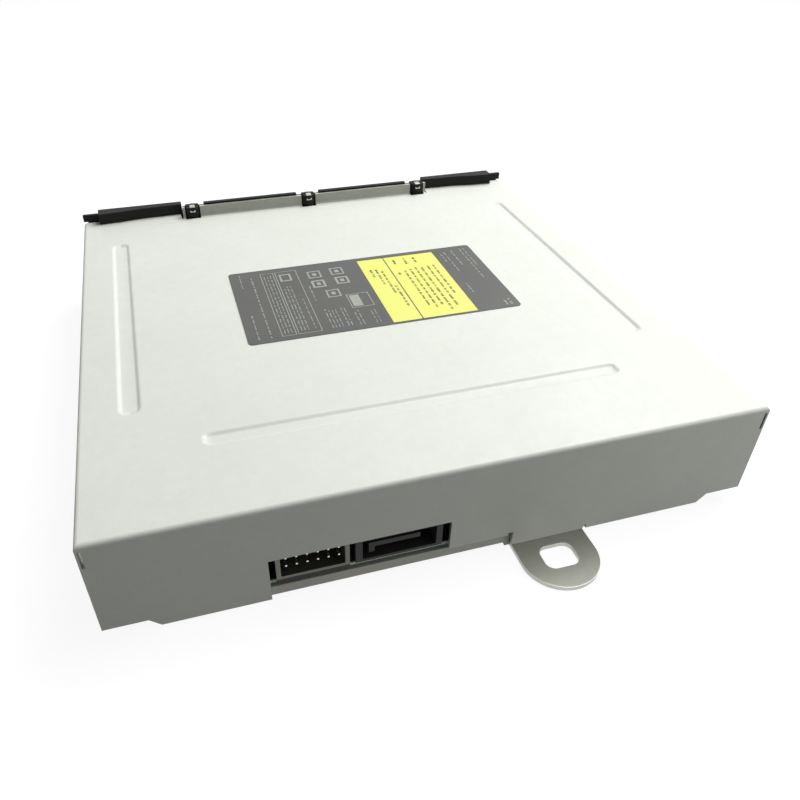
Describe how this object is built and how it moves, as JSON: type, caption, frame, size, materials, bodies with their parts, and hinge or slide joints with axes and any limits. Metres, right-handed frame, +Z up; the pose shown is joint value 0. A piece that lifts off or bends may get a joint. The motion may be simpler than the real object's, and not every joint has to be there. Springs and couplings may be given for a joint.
{
  "type": "slot-loading console optical disc drive",
  "caption": "Slim steel-cased slot-loading optical disc drive with power and data sockets, a mounting tab and a working roller loader, lift and pickup inside.",
  "frame": {"origin": "middle of the body on the plane of the pressed underside", "axes": "+Z up through the cover; +Y from the connector wall towards the disc slot; +X to the right seen from the connector wall"},
  "size_m": [0.132, 0.1452, 0.0281],
  "materials": {
    "cover_steel": "smooth coated sheet",
    "chassis_steel": "zinc coated sheet",
    "screw_steel": "dark zinc",
    "label_grey": "satin film",
    "label_yellow": "satin film",
    "label_print": "print",
    "bezel_plastic": "fine matt moulding",
    "felt": "short pile",
    "board_green": "solder resist",
    "header_plastic": "off-white moulding",
    "pin_metal": "tin plated",
    "socket_plastic": "black moulding",
    "contact_gold": "gold flash",
    "chip_black": "moulded resin",
    "socket_ivory": "moulded",
    "frame_plastic": "dark moulding",
    "motor_can": "plated can",
    "shaft_steel": "ground",
    "pinion_brass": "machined",
    "gear_plastic": "acetal",
    "roller_rubber": "matt rubber",
    "damper_rubber": "soft rubber",
    "sled_metal": "die cast",
    "lens_glass": "coated lens"
  },
  "bodies": {
    "chassis": {"top_cover": "cover_steel", "bottom_chassis": "chassis_steel", "chassis_screws": "screw_steel", "rating_label": "label_grey", "label_field": "label_yellow", "label_marks": "label_print", "front_bezel": "bezel_plastic", "slot_felt": "felt", "main_board": "board_green", "power_header": "header_plastic", "header_pins": "pin_metal", "sata_socket": "socket_plastic", "sata_contacts": "contact_gold", "board_chips": "chip_black", "flex_socket": "socket_ivory", "loader_frame": "frame_plastic", "clamp_plate": "chassis_steel", "clamp_screws": "screw_steel", "loading_motor": "motor_can", "pivot_dampers": "damper_rubber"},
    "cam_slide": {"cam_slider": "gear_plastic"},
    "traverse": {"traverse_frame": "frame_plastic", "spindle_stator": "motor_can", "guide_rods": "shaft_steel", "sled_motor": "motor_can"},
    "spindle": {"spindle_rotor": "motor_can", "turntable": "frame_plastic", "turntable_pad": "roller_rubber"},
    "pickup": {"pickup_sled": "sled_metal"},
    "focus_lens": {"lens_holder": "frame_plastic", "objective_lens": "lens_glass"},
    "feed_screw": {"lead_screw": "shaft_steel"},
    "bracket": {"roller_bracket": "chassis_steel"},
    "roller": {"roller_shaft": "shaft_steel", "roller_gear": "gear_plastic", "roller_left": "roller_rubber", "roller_right": "roller_rubber"},
    "motor_rotor": {"motor_shaft": "shaft_steel", "motor_pinion": "pinion_brass"},
    "first_gear": {"gear_first": "gear_plastic"},
    "second_gear": {"gear_second": "gear_plastic"},
    "trigger": {"trigger_lever": "gear_plastic"},
    "clamp_puck": {"clamper": "frame_plastic", "clamper_cap": "shaft_steel"}
  },
  "joints": [
    {"name": "cam_travel", "type": "slide", "parent": "chassis", "child": "cam_slide", "axis": [0, 1, 0], "range_m": [0, 0.012]},
    {"name": "traverse_lift", "type": "hinge", "parent": "chassis", "child": "traverse", "pos_m": [0.04101, -0.04301, 0.0068], "axis": [0.7071, 0.7071, 0], "range_deg": [0, 3.2]},
    {"name": "roller_drop", "type": "hinge", "parent": "chassis", "child": "bracket", "pos_m": [0, 0.044, 0.0036], "axis": [-1, 0, 0], "range_deg": [0, 8.05]},
    {"name": "roller_spin", "type": "hinge", "parent": "bracket", "child": "roller", "pos_m": [0, 0.057, 0.0116], "axis": [1, 0, 0], "continuous": true},
    {"name": "second_gear_spin", "type": "hinge", "parent": "chassis", "child": "second_gear", "pos_m": [-0.062, 0.04705, 0.0119], "axis": [1, 0, 0], "continuous": true},
    {"name": "first_gear_spin", "type": "hinge", "parent": "chassis", "child": "first_gear", "pos_m": [-0.062, 0.03941, 0.0115], "axis": [1, 0, 0], "continuous": true},
    {"name": "motor_spin", "type": "hinge", "parent": "chassis", "child": "motor_rotor", "pos_m": [-0.062, 0.03144, 0.0098], "axis": [1, 0, 0], "continuous": true},
    {"name": "spindle_spin", "type": "hinge", "parent": "traverse", "child": "spindle", "pos_m": [-0.00014, -0.00186, 0.00879], "axis": [-0.039, 0.039, 0.9985], "continuous": true},
    {"name": "sled_travel", "type": "slide", "parent": "traverse", "child": "pickup", "axis": [0.706, -0.706, 0.0552], "range_m": [0, 0.034]},
    {"name": "feed_screw_spin", "type": "hinge", "parent": "traverse", "child": "feed_screw", "pos_m": [0.0119, 0.01, 0.0064], "axis": [0.706, -0.706, 0.0552], "range_deg": [0, 4082]},
    {"name": "lens_focus", "type": "slide", "parent": "pickup", "child": "focus_lens", "axis": [-0.039, 0.039, 0.9985], "range_m": [-0.0004, 0.0004], "stiffness_N_per_m": 60},
    {"name": "trigger_swing", "type": "hinge", "parent": "chassis", "child": "trigger", "pos_m": [-0.044, -0.046, 0.019], "axis": [0, 0, -1], "range_deg": [0, 20], "stiffness_Nm_per_rad": 0.002},
    {"name": "clamper_spin", "type": "hinge", "parent": "chassis", "child": "clamp_puck", "pos_m": [0, -0.002, 0.021], "axis": [0, 0, 1], "continuous": true}
  ],
  "couplings": [
    {"joint": "traverse_lift", "follows": "cam_travel", "rad_per_m": 4.6},
    {"joint": "roller_drop", "follows": "cam_travel", "rad_per_m": 11.636},
    {"joint": "second_gear_spin", "follows": "roller_spin", "ratio": -0.9},
    {"joint": "first_gear_spin", "follows": "roller_spin", "ratio": 1.8},
    {"joint": "motor_spin", "follows": "roller_spin", "ratio": -5.4},
    {"joint": "feed_screw_spin", "follows": "sled_travel", "rad_per_m": 2094.4}
  ]
}
